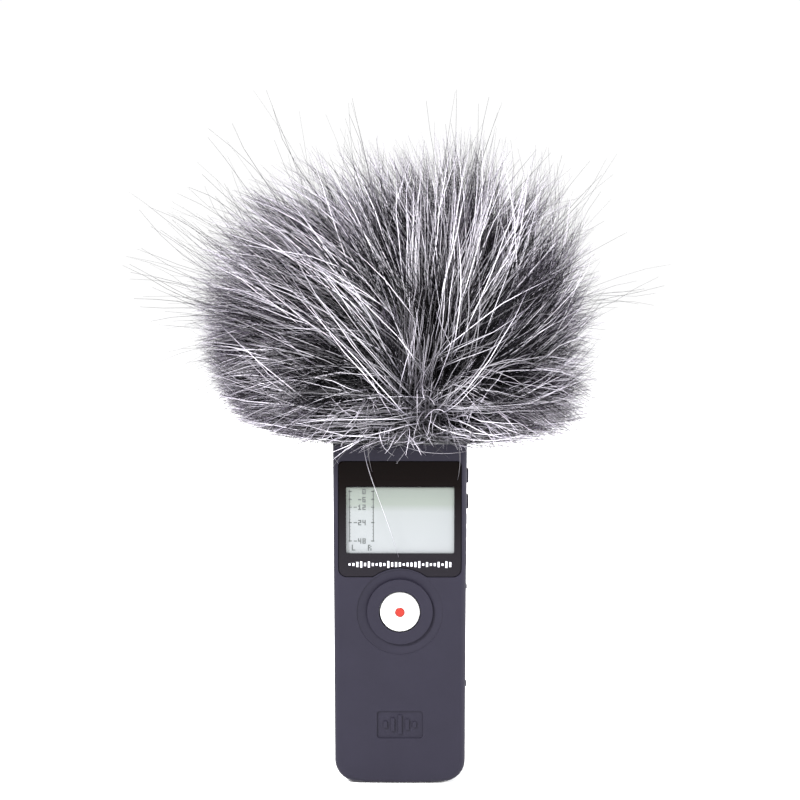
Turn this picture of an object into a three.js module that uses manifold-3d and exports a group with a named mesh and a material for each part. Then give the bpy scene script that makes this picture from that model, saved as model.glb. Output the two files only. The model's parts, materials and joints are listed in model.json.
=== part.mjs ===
// A portable stereo field recorder with a fur windscreen over its microphones.
// Millimetres, +Z up along the recorder, -Y is the front with the display, +X is the right-hand side.
// The origin is under the middle of the rounded bottom end.
import * as THREE from "three";
import { mergeVertices } from "three/addons/utils/BufferGeometryUtils.js";
import Module from "manifold-3d";

const wasm = await Module();
wasm.setup();

// ---- Driving dimensions ----
const CAGE_TOP = 136; // whole recorder
const BODY_TOP = 114; // the two shells end here and the microphone cage begins
const HALF_TOP = 22; // half width at the top of the cage
const HALF_BOTTOM = 21.5; // half width at the bottom
const HALF_DEPTH = 15.5;
const WALL = 1.8;
const FRONT_WALL = 2.2;
const FRONT_EDGE = 1.6; // edge radius of the front face
const BACK_EDGE = 5; // edge radius of the back face
const BOTTOM_RISE = 1.2; // how far the bottom edge curves up towards its corners
const BOTTOM_RADIUS = 250;
const BOTTOM_CORNER = 7.5;
const CAGE_CORNER = 9;
const GAP = 0.3; // between neighbouring pieces
const PARTING = 0.15; // each shell stops this far from the middle plane
const LIP = { outer: 1.0, reach: 1.2 }; // the front shell's lip: its outer face below the surface, its overlap

const LENS = { half: 20, bottom: 69.6, top: 107.6, depth: 1.3, thick: 1.0, corner: 2.6, corner_top: 1.4 };
const WINDOW = { half: 18.1, bottom: 76.6, top: 99.2 };
const DISH = { z: 57.8, radius: 14.2, collar: 10.8, depth: 1.0, lip: 0.3 };
const BUTTON = { radius: 6.45, hole: 6.85, proud: 0.5 };
const BADGE = { z: 20, half: 7.6, tall: 9.2, depth: 0.5 };
const BOARD = { front: -4.4, back: -3.2, half: 18.6, bottom: 7.5, top: 111.6 };
const SCREWS = { x: 13.2, heights: [12, 71], boss: 2.6, shank: 0.95, head: 2.0, seat: 12.2 };
const TRIPOD = { z: 74, boss: 6.4, pad: 8, pad_face: 16, insert: 4.2, bore: 2.7, depth: 8 };
const SPEAKER = { z: 90.5, radius: 9, front: 9.2, back: 13.4 };
const BATTERY = { radius: 7, length: 48.6, nub: 1.2, y: 6.4, bottom: 11.0 };
const TRAY = { half: 8.5, flange: 15, wall: 1.1, floor: -2.0, back: 12.0, bottom: 7.4, top: 63.6 };
const COVER = { half: 9.5, top: 65.5, lip: 11.5, rail: 10.2 };
const JACK = { z: 109.3, hole: 2.9, nozzle: 2.6, bore: 1.85, face: 22.15, length: 12.5 };
const USB = { z: 84, half_z: 3.8, half_y: 2.0, length: 8.6 };
const DOOR = { bottom: 27.6, top: 46.6, front: -9.4, hinge_y: -2.6, hinge_x: 20.7, barrel: 0.75, pin: 0.35 };
const CARD = { z: 37, half: 5.5, y: -5.65, thick: 0.9, length: 14 };
const POWER = { z: 62.5, half: 2.4, travel: 2 };
const REAR_SWITCH = { z: 103, pitch: 10.5, travel: 2 };
const STRAP = { z: 11, post: 0.9, x: 20.3, gap_half: 3 };
const CAPSULE = { radius: 4.4, length: 9.5, offset: 6.0, tilt: Math.PI / 4, z: 123.8 };

// The side keys: height, half length, and how far each stands out of the side wall.
const RIGHT_KEYS = [
  { name: "level_up_key", z: 101.0, half: 2.3, proud: 0.9 },
  { name: "level_down_key", z: 92.3, half: 2.3, proud: 0.9 },
  { name: "play_key", z: 86.4, half: 1.7, proud: 0.4 },
  { name: "forward_key", z: 81.8, half: 1.7, proud: 0.4 },
  { name: "rewind_key", z: 77.2, half: 1.7, proud: 0.4 },
  { name: "delete_key", z: 72.6, half: 1.7, proud: 0.4 },
];
const LEFT_KEYS = [
  { name: "volume_up_key", z: 100.2, half: 2.2, proud: 0.4 },
  { name: "volume_down_key", z: 94.6, half: 2.2, proud: 0.4 },
];
const KEY = { half_y: 1.6, flange: 0.8, flange_thick: 0.8, slot: 0.3 };

const CUFF = { bottom: 113.4, top: 118, clearance: 0.5, thick: 2.2, corner: 2 };
const SLEEVE = { top: 140.2, inner_top: 137.4, thick: 1.7 };
const FUR = { half_width: 77.5, half_depth: 62.5, bottom: 115, top: 214 };

// ---- Materials ----
const material = (color, roughness, metalness = 0) =>
  new THREE.MeshStandardMaterial({ color, roughness, metalness });
const CASE_PLASTIC = material(0x494754, 0.55);
const KEY_RUBBER = material(0x4f4d5b, 0.6);
const INNER_PLASTIC = material(0x25252a, 0.6);
const WHITE_PLASTIC = material(0xf4f4f2, 0.3);
const RED_PRINT = material(0xe23a2a, 0.4);
const LENS_PLASTIC = material(0x0d0d0f, 0.08);
const LCD_GLASS = material(0xc3cdc4, 0.25);
const BOARD_GREEN = material(0x1f5a35, 0.5);
const STEEL = material(0xb9bcc0, 0.3, 1);
const BRASS = material(0xb8923f, 0.35, 1);
const BATTERY_SKIN = material(0x2f6a4a, 0.35);
const RUBBER = material(0x1a1a1c, 0.8);
const KNIT = material(0x2b2b30, 0.95);
const FUR_PILE = material(0x5a5860, 1.0);

// ---- Solids: manifold-3d joins and cuts, three.js makes the shapes ----
function solidOf(geometry) {
  const bare = geometry.clone();
  for (const name of Object.keys(bare.attributes)) {
    if (name !== "position") bare.deleteAttribute(name);
  }
  const merged = mergeVertices(bare, 1e-4);
  return new wasm.Manifold(
    new wasm.Mesh({
      numProp: 3,
      vertProperties: merged.attributes.position.array,
      triVerts: new Uint32Array(merged.index.array),
    }),
  );
}

function geometryOf(solid) {
  const mesh = solid.getMesh();
  const geometry = new THREE.BufferGeometry();
  geometry.setAttribute("position", new THREE.BufferAttribute(mesh.vertProperties, mesh.numProp));
  geometry.setIndex(new THREE.BufferAttribute(mesh.triVerts, 1));
  geometry.computeVertexNormals();
  return geometry;
}

const join = (...pieces) => geometryOf(pieces.map(solidOf).reduce((a, b) => a.add(b)));
const cut = (base, ...tools) =>
  geometryOf(tools.map(solidOf).reduce((a, b) => a.subtract(b), solidOf(base)));
const common = (a, b) => geometryOf(solidOf(a).intersect(solidOf(b)));

// ---- Shapes ----
function block(x0, x1, y0, y1, z0, z1) {
  const box = new THREE.BoxGeometry(x1 - x0, y1 - y0, z1 - z0);
  return box.translate((x0 + x1) / 2, (y0 + y1) / 2, (z0 + z1) / 2);
}

// A rod along Y, X or Z from one coordinate to another, at the other two coordinates.
function rodY(radius, y0, y1, x, z, sides = 20) {
  return new THREE.CylinderGeometry(radius, radius, y1 - y0, sides).translate(x, (y0 + y1) / 2, z);
}

function rodX(radius, x0, x1, y, z, sides = 16) {
  const rod = new THREE.CylinderGeometry(radius, radius, x1 - x0, sides).rotateZ(Math.PI / 2);
  return rod.translate((x0 + x1) / 2, y, z);
}

function rodZ(radius, z0, z1, x, y, sides = 12) {
  const rod = new THREE.CylinderGeometry(radius, radius, z1 - z0, sides).rotateX(Math.PI / 2);
  return rod.translate(x, y, (z0 + z1) / 2);
}

// A solid of revolution about Z from [radius, height] pairs that run up the outside.
function turned(profile, sides = 24) {
  const points = profile.map(([r, z]) => new THREE.Vector2(r, z));
  return new THREE.LatheGeometry(points, sides).rotateX(Math.PI / 2);
}

// The same about Y: the second number of a pair is how far forward, towards -Y, it lies.
const turnedForward = (profile, sides) => turned(profile, sides).rotateX(Math.PI / 2);

// A closed outline through counter-clockwise corners [x, z, radius], each rounded by a true arc.
function outline(corners) {
  const shape = new THREE.Shape();
  corners.forEach(([x, z, radius], i) => {
    const at = new THREE.Vector2(x, z);
    const before = new THREE.Vector2(...corners.at(i - 1));
    const after = new THREE.Vector2(...corners[(i + 1) % corners.length]);
    const back = before.sub(at).normalize();
    const on = after.sub(at).normalize();
    const half = Math.acos(THREE.MathUtils.clamp(back.dot(on), -1, 1)) / 2;
    const turnsLeft = back.cross(on) < 0;
    if (!radius) {
      if (i) shape.lineTo(x, z);
      else shape.moveTo(x, z);
      return;
    }
    const centre = at.clone().addScaledVector(back.clone().add(on).normalize(), radius / Math.sin(half));
    const tangent = radius / Math.tan(half);
    const from = at.clone().addScaledVector(back, tangent).sub(centre).angle();
    const to = at.clone().addScaledVector(on, tangent).sub(centre).angle();
    shape.absarc(centre.x, centre.y, radius, from, to, !turnsLeft);
  });
  return shape;
}

const roundedBox = (half, z0, z1, radius) =>
  outline([[-half, z0, radius], [half, z0, radius], [half, z1, radius], [-half, z1, radius]]);

// An outline in the XZ plane made solid between two depths, with its edges rounded at both ends.
function slab(shape, y0, y1, edge = 0, curveSegments = 5) {
  const geometry = new THREE.ExtrudeGeometry(shape, {
    depth: y1 - y0 - 2 * edge,
    curveSegments,
    bevelEnabled: edge > 0,
    bevelThickness: edge,
    bevelSize: edge,
    bevelOffset: -edge,
    bevelSegments: 3,
  });
  return geometry.rotateX(Math.PI / 2).translate(0, y1 - edge, 0);
}

// An outline in the XY plane made solid between two heights.
function tower(shape, z0, z1, edge = 0, curveSegments = 4) {
  return slab(shape, -z1, -z0, edge, curveSegments).rotateX(-Math.PI / 2);
}

// ---- The recorder's outer form, shared by the shells, the cage, the battery cover and the card door ----
const halfWidthAt = (z) => HALF_BOTTOM + ((HALF_TOP - HALF_BOTTOM) * z) / CAGE_TOP;

function bodyOutline(inset) {
  const slope = Math.atan(BOTTOM_RISE / HALF_BOTTOM);
  const radius = BOTTOM_RADIUS - inset;
  const lowest = inset - radius * (1 / Math.cos(slope) - 1);
  const cornerHeight = lowest + (HALF_BOTTOM - inset) * Math.tan(slope);
  const corner = BOTTOM_CORNER - Math.min(inset, BOTTOM_CORNER - 1);
  return outline([
    [0, lowest, radius],
    [HALF_BOTTOM - inset, cornerHeight, corner],
    [HALF_TOP - inset, CAGE_TOP - inset, CAGE_CORNER - inset],
    [inset - HALF_TOP, CAGE_TOP - inset, CAGE_CORNER - inset],
    [inset - HALF_BOTTOM, cornerHeight, corner],
  ]);
}

// The whole form, its edges sharper in front than behind, and the same form one wall thickness smaller.
function bodyForm(inset = 0, front_inset = inset) {
  const shape = bodyOutline(inset);
  const far = HALF_DEPTH * 2;
  const front = slab(shape, front_inset - HALF_DEPTH, far, Math.max(FRONT_EDGE - inset, 0));
  const back = slab(shape, -far, HALF_DEPTH - inset, BACK_EDGE - inset);
  return common(front, back);
}

const form = bodyForm();
const cavity = bodyForm(WALL, FRONT_WALL);
const everywhere = HALF_TOP * 2;
const slice = (geometry, y0, y1, z0, z1) => common(geometry, block(-everywhere, everywhere, y0, y1, z0, z1));

// ---- What the side walls are cut for: keys, jacks, USB port, power slider, card door and strap post ----
function sideOpenings() {
  const through = (side, z, halfY, halfZ) =>
    block(...(side > 0 ? [19, 24] : [-24, -19]), -halfY, halfY, z - halfZ, z + halfZ);
  const slot = (side, key) => through(side, key.z, KEY.half_y + KEY.slot, key.half + KEY.slot);
  return [
    ...RIGHT_KEYS.map((key) => slot(1, key)),
    ...LEFT_KEYS.map((key) => slot(-1, key)),
    rodX(JACK.hole, 18, 24, 0, JACK.z),
    rodX(JACK.hole, -24, -18, 0, JACK.z),
    through(-1, USB.z, USB.half_y + GAP, USB.half_z + GAP),
    through(1, POWER.z, KEY.half_y + KEY.slot, POWER.half + POWER.travel + KEY.slot),
    block(19, 24, DOOR.front - GAP, DOOR.hinge_y + 1.5, DOOR.bottom - GAP, DOOR.top + GAP),
    rodZ(DOOR.pin + 0.1, DOOR.bottom - 1.6, DOOR.top + 1.6, DOOR.hinge_x, DOOR.hinge_y),
    block(17.8, 24, -3.2, 3.2, STRAP.z - STRAP.gap_half, STRAP.z + STRAP.gap_half),
    rodZ(STRAP.post + 0.1, STRAP.z - 4.5, STRAP.z + 4.5, STRAP.x, 0),
  ];
}

const strapBlock = () => common(block(16.4, 23, -4.5, 4.5, STRAP.z - 5.5, STRAP.z + 5.5), form);
const screwPlaces = SCREWS.heights.flatMap((z) => [[-SCREWS.x, z], [SCREWS.x, z]]);
const inward = HALF_DEPTH - FRONT_WALL; // from the middle plane forward to the front wall's inner face

// A band that follows the shells' wall between two depths under its surface.
function wallBand(outer, inner, y0, y1) {
  const band = slice(bodyForm(outer), y0, y1, -1, BODY_TOP - outer);
  return cut(band, slice(bodyForm(inner), -everywhere, everywhere, -1, BODY_TOP - inner));
}

// The shells overlap at the parting line: a lip on the front one enters a rebate in the rear one.
function partingLip() {
  const strapRoom = block(15, 25, -5, 5, STRAP.z - 6, STRAP.z + 6);
  return cut(wallBand(LIP.outer, WALL, -1, PARTING + LIP.reach), strapRoom);
}

const partingRebate = () =>
  wallBand(LIP.outer - GAP, WALL + GAP, -1, PARTING + LIP.reach + GAP);

function lensOutline(grow = 0) {
  const { half, bottom, top, corner, corner_top } = LENS;
  return outline([
    [-half - grow, bottom - grow, corner + grow],
    [half + grow, bottom - grow, corner + grow],
    [half + grow, top + grow, corner_top + grow],
    [-half - grow, top + grow, corner_top + grow],
  ]);
}

// The ring-shaped dish round the record button: deepest beside the collar and shallow at its rim.
function dishGroove() {
  const { collar, radius, depth, lip } = DISH;
  const face = HALF_DEPTH;
  const profile = [[collar, face - depth], [radius, face - lip], [radius, face + 1], [collar, face + 1]];
  return turnedForward([...profile, profile[0]], 40).translate(0, 0, DISH.z);
}

// A plain emblem: five upright bars, like a level meter.
function emblemBars() {
  const heights = [2.2, 4.4, 6.4, 3.6, 1.8];
  return heights.map((tall, i) => {
    const x = (i - 2) * 2.4;
    return block(x - 0.6, x + 0.6, -HALF_DEPTH, 1 - HALF_DEPTH, BADGE.z - tall / 2, BADGE.z + tall / 2);
  });
}

function frontShell() {
  const outer = slice(form, -everywhere, -PARTING, -1, BODY_TOP);
  const room = slice(cavity, -everywhere, everywhere, -1, BODY_TOP - WALL);
  const bosses = screwPlaces.map(([x, z]) => rodY(SCREWS.boss, -inward - 1, -PARTING, x, z, 16));
  const strap = slice(strapBlock(), -everywhere, -PARTING, 0, BODY_TOP);
  const [badgeLow, badgeHigh] = [BADGE.z - BADGE.tall / 2, BADGE.z + BADGE.tall / 2];
  const badge = slab(roundedBox(BADGE.half, badgeLow, badgeHigh, 1), -18, BADGE.depth - HALF_DEPTH);
  const ledge = cut(slab(lensOutline(0.25), -18, LENS.depth - HALF_DEPTH), collarDisc(0.35));
  const shell = cut(
    join(cut(outer, room), ...bosses, strap, partingLip()),
    ledge,
    block(-WINDOW.half, WINDOW.half, -18, -12, WINDOW.bottom, WINDOW.top),
    rodY(BUTTON.hole, -18, -12, 0, DISH.z, 32),
    dishGroove(),
    badge,
    ...screwPlaces.map(([x, z]) => rodY(SCREWS.shank + 0.2, -10, 1, x, z, 12)),
    ...sideOpenings(),
  );
  return join(shell, ...emblemBars());
}

// The disc that the dish takes out of the lens and its pocket.
const collarDisc = (grow) => rodY(DISH.radius + grow, -20, -10, 0, DISH.z, 40);

function speakerSlots() {
  const halves = [5, 7, 7.6, 7, 5];
  return halves.map((half, i) => {
    const z = SPEAKER.z + (i - 2) * 2.6;
    return block(-half, half, 12, 17, z - 0.65, z + 0.65);
  });
}

const rearSwitchPlaces = [-1, 0, 1].map((i) => i * REAR_SWITCH.pitch);

function rearShell() {
  const outer = slice(form, PARTING, everywhere, -1, BODY_TOP);
  const room = slice(cavity, -everywhere, everywhere, -1, BODY_TOP - WALL);
  const bosses = screwPlaces.map(([x, z]) => rodY(SCREWS.boss, PARTING, 14, x, z, 16));
  const strap = slice(strapBlock(), PARTING, everywhere, 0, BODY_TOP);
  const tripodBoss = rodY(TRIPOD.boss, TRIPOD.pad_face - TRIPOD.depth - 1, 14, 0, TRIPOD.z, 24);
  const tripodPad = rodY(TRIPOD.pad, 14, TRIPOD.pad_face, 0, TRIPOD.z, 32);
  const railNotch = (side) =>
    block(...(side > 0 ? [8.3, COVER.rail + GAP] : [-COVER.rail - GAP, -8.3]), 12.1, 13.75, -1, 6);
  return cut(
    join(cut(outer, room), ...bosses, strap, tripodBoss, tripodPad),
    block(-COVER.half, COVER.half, COVER.lip, 17, -1, COVER.top),
    railNotch(1),
    railNotch(-1),
    partingRebate(),
    rodY(TRIPOD.insert + GAP, 0, 18, 0, TRIPOD.z, 24),
    ...speakerSlots(),
    ...rearSwitchPlaces.map((x) => block(x - 3, x + 3, 12, 17, REAR_SWITCH.z - 1.5, REAR_SWITCH.z + 1.5)),
    ...screwPlaces.map(([x, z]) => rodY(SCREWS.shank + 0.25, -1, 18, x, z, 12)),
    ...screwPlaces.map(([x, z]) => rodY(SCREWS.head + 0.2, SCREWS.seat, 18, x, z, 16)),
    ...sideOpenings(),
  );
}

// The cage over the microphones: four corner posts between a floor and a ring-shaped roof.
function micCage() {
  const bars = 3.2;
  const floor = 2.4;
  const outer = slice(form, -everywhere, everywhere, BODY_TOP + GAP, CAGE_TOP + 1);
  const room = slice(bodyForm(bars), -everywhere, everywhere, BODY_TOP + GAP + floor, CAGE_TOP);
  const [low, high] = [118.6, 131];
  return cut(
    outer,
    room,
    slab(roundedBox(15, low, high, 2.5), -20, 20),
    tower(outline([[-14, -9, 2], [14, -9, 2], [14, 7, 2], [-14, 7, 2]]), 130, 140),
    slab(roundedBox(9.5, low, high, 2.5), -25, 25).rotateZ(Math.PI / 2).translate(-0.5, 0, 0),
    rodZ(2, BODY_TOP, BODY_TOP + 4, 0, 0),
  );
}

// ---- Battery, its tray and its cover ----
function batteryCover() {
  const { half, top, lip, rail } = COVER;
  const skin = cut(form, cavity);
  const panel = common(skin, block(GAP - half, half - GAP, lip + GAP, 17, -1, top - GAP));
  const rails = [-1, 1].map((side) => {
    const [x0, x1] = [side * 8.6, side * rail].sort((a, b) => a - b);
    const hook = block(x0, x1, 12.4, 13.45, 8, 58);
    const [w0, w1] = [side * 8.6, side * (half - GAP)].sort((a, b) => a - b);
    return join(hook, block(w0, w1, 12.4, 14.2, 8, 58));
  });
  const grip = [0, 1, 2, 3, 4].map((i) => block(-5, 5, HALF_DEPTH - 0.4, 17, 52 + i * 1.8, 52.8 + i * 1.8));
  return cut(join(panel, ...rails), ...grip);
}

// A box open towards the cover, with a flange that closes the case beside it round the screw bosses.
function batteryTray() {
  const { half, flange, wall, floor, back, bottom, top } = TRAY;
  return cut(
    join(
      block(-half, half, floor, back, bottom, top),
      block(-flange, flange, back - wall, back, bottom, top),
    ),
    block(wall - half, half - wall, floor + wall, back + 1, bottom + wall, top - wall),
    ...screwPlaces.map(([x, z]) => rodY(SCREWS.boss + GAP, back - wall - 1, back + 1, x, z, 16)),
  );
}

function batteryCell() {
  const { radius, length, nub } = BATTERY;
  const profile = [[0, 0], [radius - 0.4, 0], [radius, 0.4], [radius, length - 0.4], [radius - 0.4, length]];
  return turned([...profile, [2.7, length], [2.7, length + nub], [0, length + nub]], 28);
}

// A conical coil of round wire, wound upwards from its wide end.
function contactSpring() {
  const turns = 3;
  const [wide, narrow, tall, wire] = [5, 2.2, 1.6, 0.3];
  const points = [];
  for (let i = 0; i <= turns * 14; i++) {
    const share = i / (turns * 14);
    const angle = share * turns * 2 * Math.PI;
    const radius = THREE.MathUtils.lerp(wide, narrow, share);
    points.push(new THREE.Vector3(radius * Math.cos(angle), radius * Math.sin(angle), share * tall));
  }
  const section = new THREE.Shape().absarc(0, 0, wire, 0, 2 * Math.PI);
  const path = new THREE.CatmullRomCurve3(points);
  return new THREE.ExtrudeGeometry(section, { steps: points.length, curveSegments: 6, extrudePath: path });
}

// ---- Display and board ----
const displayLens = () =>
  cut(slab(lensOutline(), 0.2 - HALF_DEPTH, 0.2 + LENS.thick - HALF_DEPTH), collarDisc(0.6));

const displayFrame = () =>
  cut(block(-19.7, 19.7, -13.0, BOARD.front - GAP, 74.4, 101.4), block(-19, 19, -14, -3, 75.1, 100.7));

function mainBoard() {
  const { front, back, half, bottom, top } = BOARD;
  const notch = block(16.1, 25, -6, 0, 0, STRAP.z + 5.8);
  return cut(
    block(-half, half, front, back, bottom, top),
    notch,
    ...screwPlaces.map(([x, z]) => rodY(SCREWS.boss + 0.3, -6, 0, x, z, 16)),
  );
}

function cardSocket() {
  const { z, half, y, thick, length } = CARD;
  const slot = block(4.8, 25, y - thick / 2 - 0.2, y + thick / 2 + 0.2, z - half - 0.25, z + half + 0.25);
  return cut(block(4.2, 4.2 + length, -6.9, BOARD.front - 0.1, z - half - 1, z + half + 1), slot);
}

// A 3.5 mm socket whose nozzle points along +X from the middle plane.
function jackSocket() {
  const { face, length, nozzle, bore } = JACK;
  const inner = face - 3.2;
  return cut(
    join(block(face - length, inner, -2.9, 2.9, -2.7, 2.7), rodX(nozzle, inner - 1, face, 0, 0, 20)),
    rodX(bore, face - length + 1.5, face + 1, 0, 0, 16),
  );
}

function usbPort() {
  const front = halfWidthAt(USB.z) - 0.1;
  const { half_y, half_z, length } = USB;
  return cut(
    block(front - length, front, -half_y, half_y, -half_z, half_z),
    block(front - length + 1, front + 1, 0.45 - half_y, half_y - 0.45, 0.45 - half_z, half_z - 0.45),
  );
}

// ---- Buttons, keys and sliders ----
function recordButton() {
  const { radius, proud } = BUTTON;
  const face = HALF_DEPTH + proud;
  const profile = [
    [0, 10.6],
    [2, 10.6],
    [2, 12.1],
    [7.5, 12.1],
    [7.5, inward - GAP],
    [radius, inward - GAP],
    [radius, face - 0.5],
    [radius - 0.5, face],
    [0, face],
  ];
  return cut(turnedForward(profile, 32), rodY(1.7, -face - 1, 0.5 - face, 0, 0, 16));
}

// A key for the side wall at a height, pointing along +X: its cap, and a flange that stays inside.
function sideKey({ z, half, proud }) {
  const surface = halfWidthAt(z);
  const wallInside = surface - WALL;
  const { half_y, flange, flange_thick } = KEY;
  const inner = wallInside - GAP - flange_thick;
  return join(
    block(inner, surface + proud, -half_y, half_y, -half, half),
    block(inner, inner + flange_thick, -half_y - 0.6, half_y + 0.6, -half - flange / 2, half + flange / 2),
  );
}

// The strip of dome switches behind a row of keys.
function keySwitches(keys) {
  const low = Math.min(...keys.map((key) => key.z - key.half));
  const high = Math.max(...keys.map((key) => key.z + key.half));
  return join(
    block(16.2, 17.2, -2.9, 2.3, low, high),
    ...keys.map((key) => rodX(1.1, 17.1, 18.4, 0, key.z, 12)),
  );
}

function powerSlider() {
  const surface = halfWidthAt(POWER.z);
  return join(
    block(surface - WALL - 1.1, surface + 0.2, -KEY.half_y, KEY.half_y, -POWER.half, POWER.half),
    block(surface, surface + 0.6, -KEY.half_y, KEY.half_y, 0.4, 1.6),
    block(surface - WALL - 1.1, surface - WALL - GAP, -2.5, 2.5, -POWER.half - 2.2, POWER.half + 2.2),
  );
}

// A rear slide switch's knob, with the flange that hides its slot at both ends of its travel.
function rearSlider() {
  const knob = block(-1.5, 1.5, 12.6, 15.2, -1.2, 1.2);
  const flange = block(-4.1, 4.1, 12.6, 13.4, -2, 2);
  const groove = block(-0.3, 0.3, 14.9, 16, -2, 2);
  return cut(join(knob, flange), groove);
}

const rearSwitchBank = () =>
  join(
    block(-16, 16, 8.4, 9.6, REAR_SWITCH.z - 3, REAR_SWITCH.z + 3),
    ...rearSwitchPlaces.map((x) => block(x - 4, x + 4, 9.5, 12.3, REAR_SWITCH.z - 1.8, REAR_SWITCH.z + 1.8)),
  );

// ---- Card door ----
function cardDoor() {
  const { bottom, top, front, hinge_y, hinge_x, barrel, pin } = DOOR;
  const panel = common(form, block(20.1, 25, front, hinge_y, bottom, top));
  const nub = block(21.3, 22.05, front + 0.4, front + 1.6, 31.4, 33.4);
  const knuckle = rodZ(barrel, bottom, top, hinge_x, hinge_y);
  return cut(join(panel, nub, knuckle), rodZ(pin + 0.1, bottom - 1, top + 1, hinge_x, hinge_y));
}

// ---- Fasteners and fittings ----
function caseScrew() {
  const { shank, head } = SCREWS;
  const point = [[0, -21], [0.5, -20.4], [shank, -19.6], [shank, 0]];
  const pan = [[head, 0], [head, 1], [head - 0.5, 1.4], [0, 1.4]];
  const arm = (x, y) => block(-x, x, -y, y, 0.7, 2);
  return cut(turned([...point, ...pan], 16), arm(1.1, 0.25), arm(0.25, 1.1));
}

function tripodInsert() {
  const { insert, bore, depth } = TRIPOD;
  const profile = [[0, 0], [insert, 0], [insert, depth - 0.4], [insert - 0.4, depth], [bore + 0.5, depth]];
  return turned([...profile, [bore, depth - 0.5], [bore, 1.2], [0, 1.2]], 24);
}

// ---- Microphones: two capsules crossing at a right angle, one in front of the other ----
function capsule() {
  const { radius, length } = CAPSULE;
  const can = [[0, 0], [radius, 0], [radius, length - 0.5], [radius - 0.5, length]];
  const face = [[radius - 1, length], [radius - 1, length - 0.6], [0, length - 0.6]];
  return turned([...can, ...face], 24);
}

const bootHeight = [1.4, 5.2];
function capsuleBoot() {
  const [low, high] = bootHeight;
  const inner = CAPSULE.radius + GAP;
  const outer = inner + 1.1;
  return turned([[inner, low], [outer, low], [outer, high], [inner, high], [inner, low]], 24);
}

// Where each capsule sits in the cage: side -1 points up to the left, side 1 up to the right.
function placeCapsule(object, side) {
  object.position.set(-side * 2.2, side * CAPSULE.offset, CAPSULE.z - 3.4);
  object.rotation.y = side * CAPSULE.tilt;
  return object;
}

function capsuleBracket() {
  const plate = block(-13, 13, -11, 10, BODY_TOP + 3, BODY_TOP + 4.4);
  const cradle = (side) =>
    block(-8, 8, -2.2, 2.2, BODY_TOP + 4, CAPSULE.z - 1.5).translate(0, side * CAPSULE.offset, 0);
  const clear = (side) => {
    const room = placeCapsule(new THREE.Object3D(), side);
    room.updateMatrix();
    const [low, high] = bootHeight;
    const outer = CAPSULE.radius + GAP + 1.1 + GAP;
    const bootRoom = rodZ(outer, low - GAP, high + GAP, 0, 0, 24);
    const capsuleRoom = rodZ(CAPSULE.radius + GAP, -GAP, 14, 0, 0, 24);
    return join(bootRoom, capsuleRoom).applyMatrix4(room.matrix);
  };
  return cut(join(plate, cradle(-1), cradle(1)), clear(-1), clear(1));
}

// ---- Windscreen ----
// A rounded rectangle in plan, this far outside the recorder.
function neckOutline(out, corner) {
  const [x, y] = [HALF_TOP + out, HALF_DEPTH + out];
  return outline([[-x, -y, corner], [x, -y, corner], [x, y, corner], [-x, y, corner]]);
}

function cuff() {
  const { bottom, top, clearance, thick, corner } = CUFF;
  return cut(
    tower(neckOutline(clearance + thick, corner + thick), bottom, top, 0.8),
    tower(neckOutline(clearance, corner), bottom - 1, top + 1),
  );
}

function sleeve() {
  const { clearance, corner, top } = CUFF;
  return cut(
    tower(neckOutline(clearance + SLEEVE.thick, corner + 2), top + GAP, SLEEVE.top),
    tower(neckOutline(clearance, corner), top - 1, SLEEVE.inner_top),
  );
}

function furPile() {
  const { half_width, half_depth, bottom, top } = FUR;
  const dome = new THREE.SplineCurve([
    new THREE.Vector2(60, bottom),
    new THREE.Vector2(66, 122),
    new THREE.Vector2(74, 143),
    new THREE.Vector2(half_width, 162),
    new THREE.Vector2(72, 184),
    new THREE.Vector2(55, 201),
    new THREE.Vector2(28, 211),
    new THREE.Vector2(0, top),
  ]);
  const profile = [[0, bottom], ...dome.getPoints(16).map((p) => [Math.max(p.x, 0), p.y])];
  const round = turned(profile, 36).scale(1, half_depth / half_width, 1);
  const out = CUFF.clearance + CUFF.thick + GAP;
  return cut(round, tower(neckOutline(out, CUFF.corner + CUFF.thick), bottom - 5, SLEEVE.top + GAP));
}

// ---- Assembly ----
const recorder = new THREE.Group();

function add(parent, name, geometry, look, x = 0, y = 0, z = 0) {
  const mesh = new THREE.Mesh(geometry, look);
  mesh.name = name;
  mesh.position.set(x, y, z);
  parent.add(mesh);
  return mesh;
}

function group(parent = recorder) {
  const made = new THREE.Group();
  parent.add(made);
  return made;
}

const casing = group();
add(casing, "front_shell", frontShell(), CASE_PLASTIC);
add(casing, "rear_shell", rearShell(), CASE_PLASTIC);
add(casing, "mic_cage", micCage(), CASE_PLASTIC);
add(casing, "card_door", cardDoor(), CASE_PLASTIC);
const doorPin = rodZ(DOOR.pin, DOOR.bottom - 1.3, DOOR.top + 1.3, DOOR.hinge_x, DOOR.hinge_y);
add(casing, "card_door_pin", doorPin, STEEL);
add(casing, "strap_post", rodZ(STRAP.post, -4.2, 4.2, 0, 0), STEEL, STRAP.x, 0, STRAP.z);
screwPlaces.forEach(([x, z], i) => {
  const screw = add(casing, `case_screw_${i + 1}`, caseScrew(), STEEL, x, SCREWS.seat + 0.1, z);
  screw.rotation.x = -Math.PI / 2;
});
const insertBack = TRIPOD.pad_face - 0.1 - TRIPOD.depth;
const insert = add(casing, "tripod_insert", tripodInsert(), BRASS, 0, insertBack, TRIPOD.z);
insert.rotation.x = -Math.PI / 2;

const display = group();
add(display, "display_lens", displayLens(), LENS_PLASTIC);
add(display, "lcd_glass", block(-18.6, 18.6, -0.9, 0.9, -12.4, 12.4), LCD_GLASS, 0, -12.0, 87.9);
add(display, "lcd_reflector", block(-18.6, 18.6, -0.7, 0.7, -12.4, 12.4), WHITE_PLASTIC, 0, -10.1, 87.9);
add(display, "lcd_frame", displayFrame(), INNER_PLASTIC);

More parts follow.
